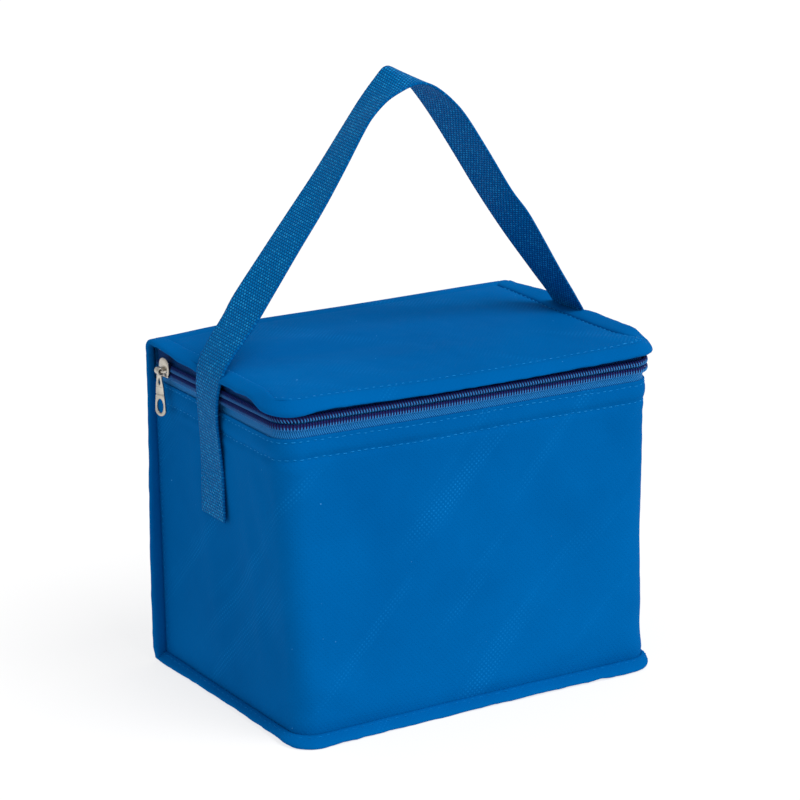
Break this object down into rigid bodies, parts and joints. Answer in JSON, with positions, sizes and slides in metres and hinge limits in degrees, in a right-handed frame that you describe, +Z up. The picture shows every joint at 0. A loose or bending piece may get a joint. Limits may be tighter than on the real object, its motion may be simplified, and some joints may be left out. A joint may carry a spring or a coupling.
{
  "type": "insulated cooler bag",
  "caption": "Soft blue insulated cooler bag: foam-lined fabric box with a zipped lid that folds back on a fabric hinge, and a webbing handle sewn to both ends.",
  "frame": {"origin": "centre of the base, on the surface that the bag stands on", "axes": "+Z up; X along the long side, from one sewn end of the handle to the other; -Y is the front, the long side opposite the lid's fold; the zip slider is near the back of the -X side"},
  "size_m": [0.2286, 0.1541, 0.31],
  "materials": {
    "cover_fabric": "matte",
    "foam": "matte",
    "lining_foil": "satin",
    "binding_fabric": "matte",
    "zip_tape": "matte",
    "zip_coil": "satin",
    "thread": "satin",
    "webbing": "matte",
    "zip_metal": "satin"
  },
  "bodies": {
    "bag_body": {"side_cover": "cover_fabric", "back_cover": "cover_fabric", "base_cover": "cover_fabric", "side_foam": "foam", "back_foam": "foam", "base_foam": "foam", "body_lining": "lining_foil", "hem_facing": "cover_fabric", "hem_stitches_lower": "thread", "hem_stitches_upper": "thread", "base_binding": "binding_fabric", "base_stitches": "thread", "back_binding_left": "binding_fabric", "back_binding_right": "binding_fabric", "corner_binding_left": "binding_fabric", "corner_binding_right": "binding_fabric", "back_stitches_left": "thread", "back_stitches_right": "thread", "hinge_fold": "cover_fabric", "zip_lower_tape": "zip_tape", "zip_lower_coil": "zip_coil", "zip_end_tack_left": "thread", "zip_end_tack_right": "thread", "strap_end_left": "webbing", "strap_end_right": "webbing", "strap_stitches_left": "thread", "strap_stitches_right": "thread"},
    "lid": {"lid_cover": "cover_fabric", "lid_foam": "foam", "lid_lining": "lining_foil", "lid_binding": "binding_fabric", "lid_stitches": "thread", "zip_upper_tape": "zip_tape", "zip_upper_coil": "zip_coil"},
    "zip_slider": {"slider_body": "zip_metal", "slider_bridge": "zip_metal"},
    "zip_pull": {"pull_tab": "zip_metal"},
    "handle": {"handle_loop": "webbing"}
  },
  "joints": [
    {"name": "lid_hinge", "type": "hinge", "parent": "bag_body", "child": "lid", "pos_m": [0, 0.07, 0.1715], "axis": [-1, 0, 0], "range_deg": [0, 170], "deforming": ["handle_loop", "strap_end_left", "strap_end_right"]},
    {"name": "zip_slide", "type": "slide", "parent": "bag_body", "child": "zip_slider", "axis": [0, -1, 0], "range_m": [0, 0.105]},
    {"name": "pull_swing", "type": "hinge", "parent": "zip_slider", "child": "zip_pull", "pos_m": [-0.1103, 0.055, 0.162], "axis": [0, 1, 0], "range_deg": [0, 120]},
    {"name": "handle_swing", "type": "hinge", "parent": "bag_body", "child": "handle", "pos_m": [0, 0.006, 0.19], "axis": [1, 0, 0], "range_deg": [-75, 75]}
  ]
}
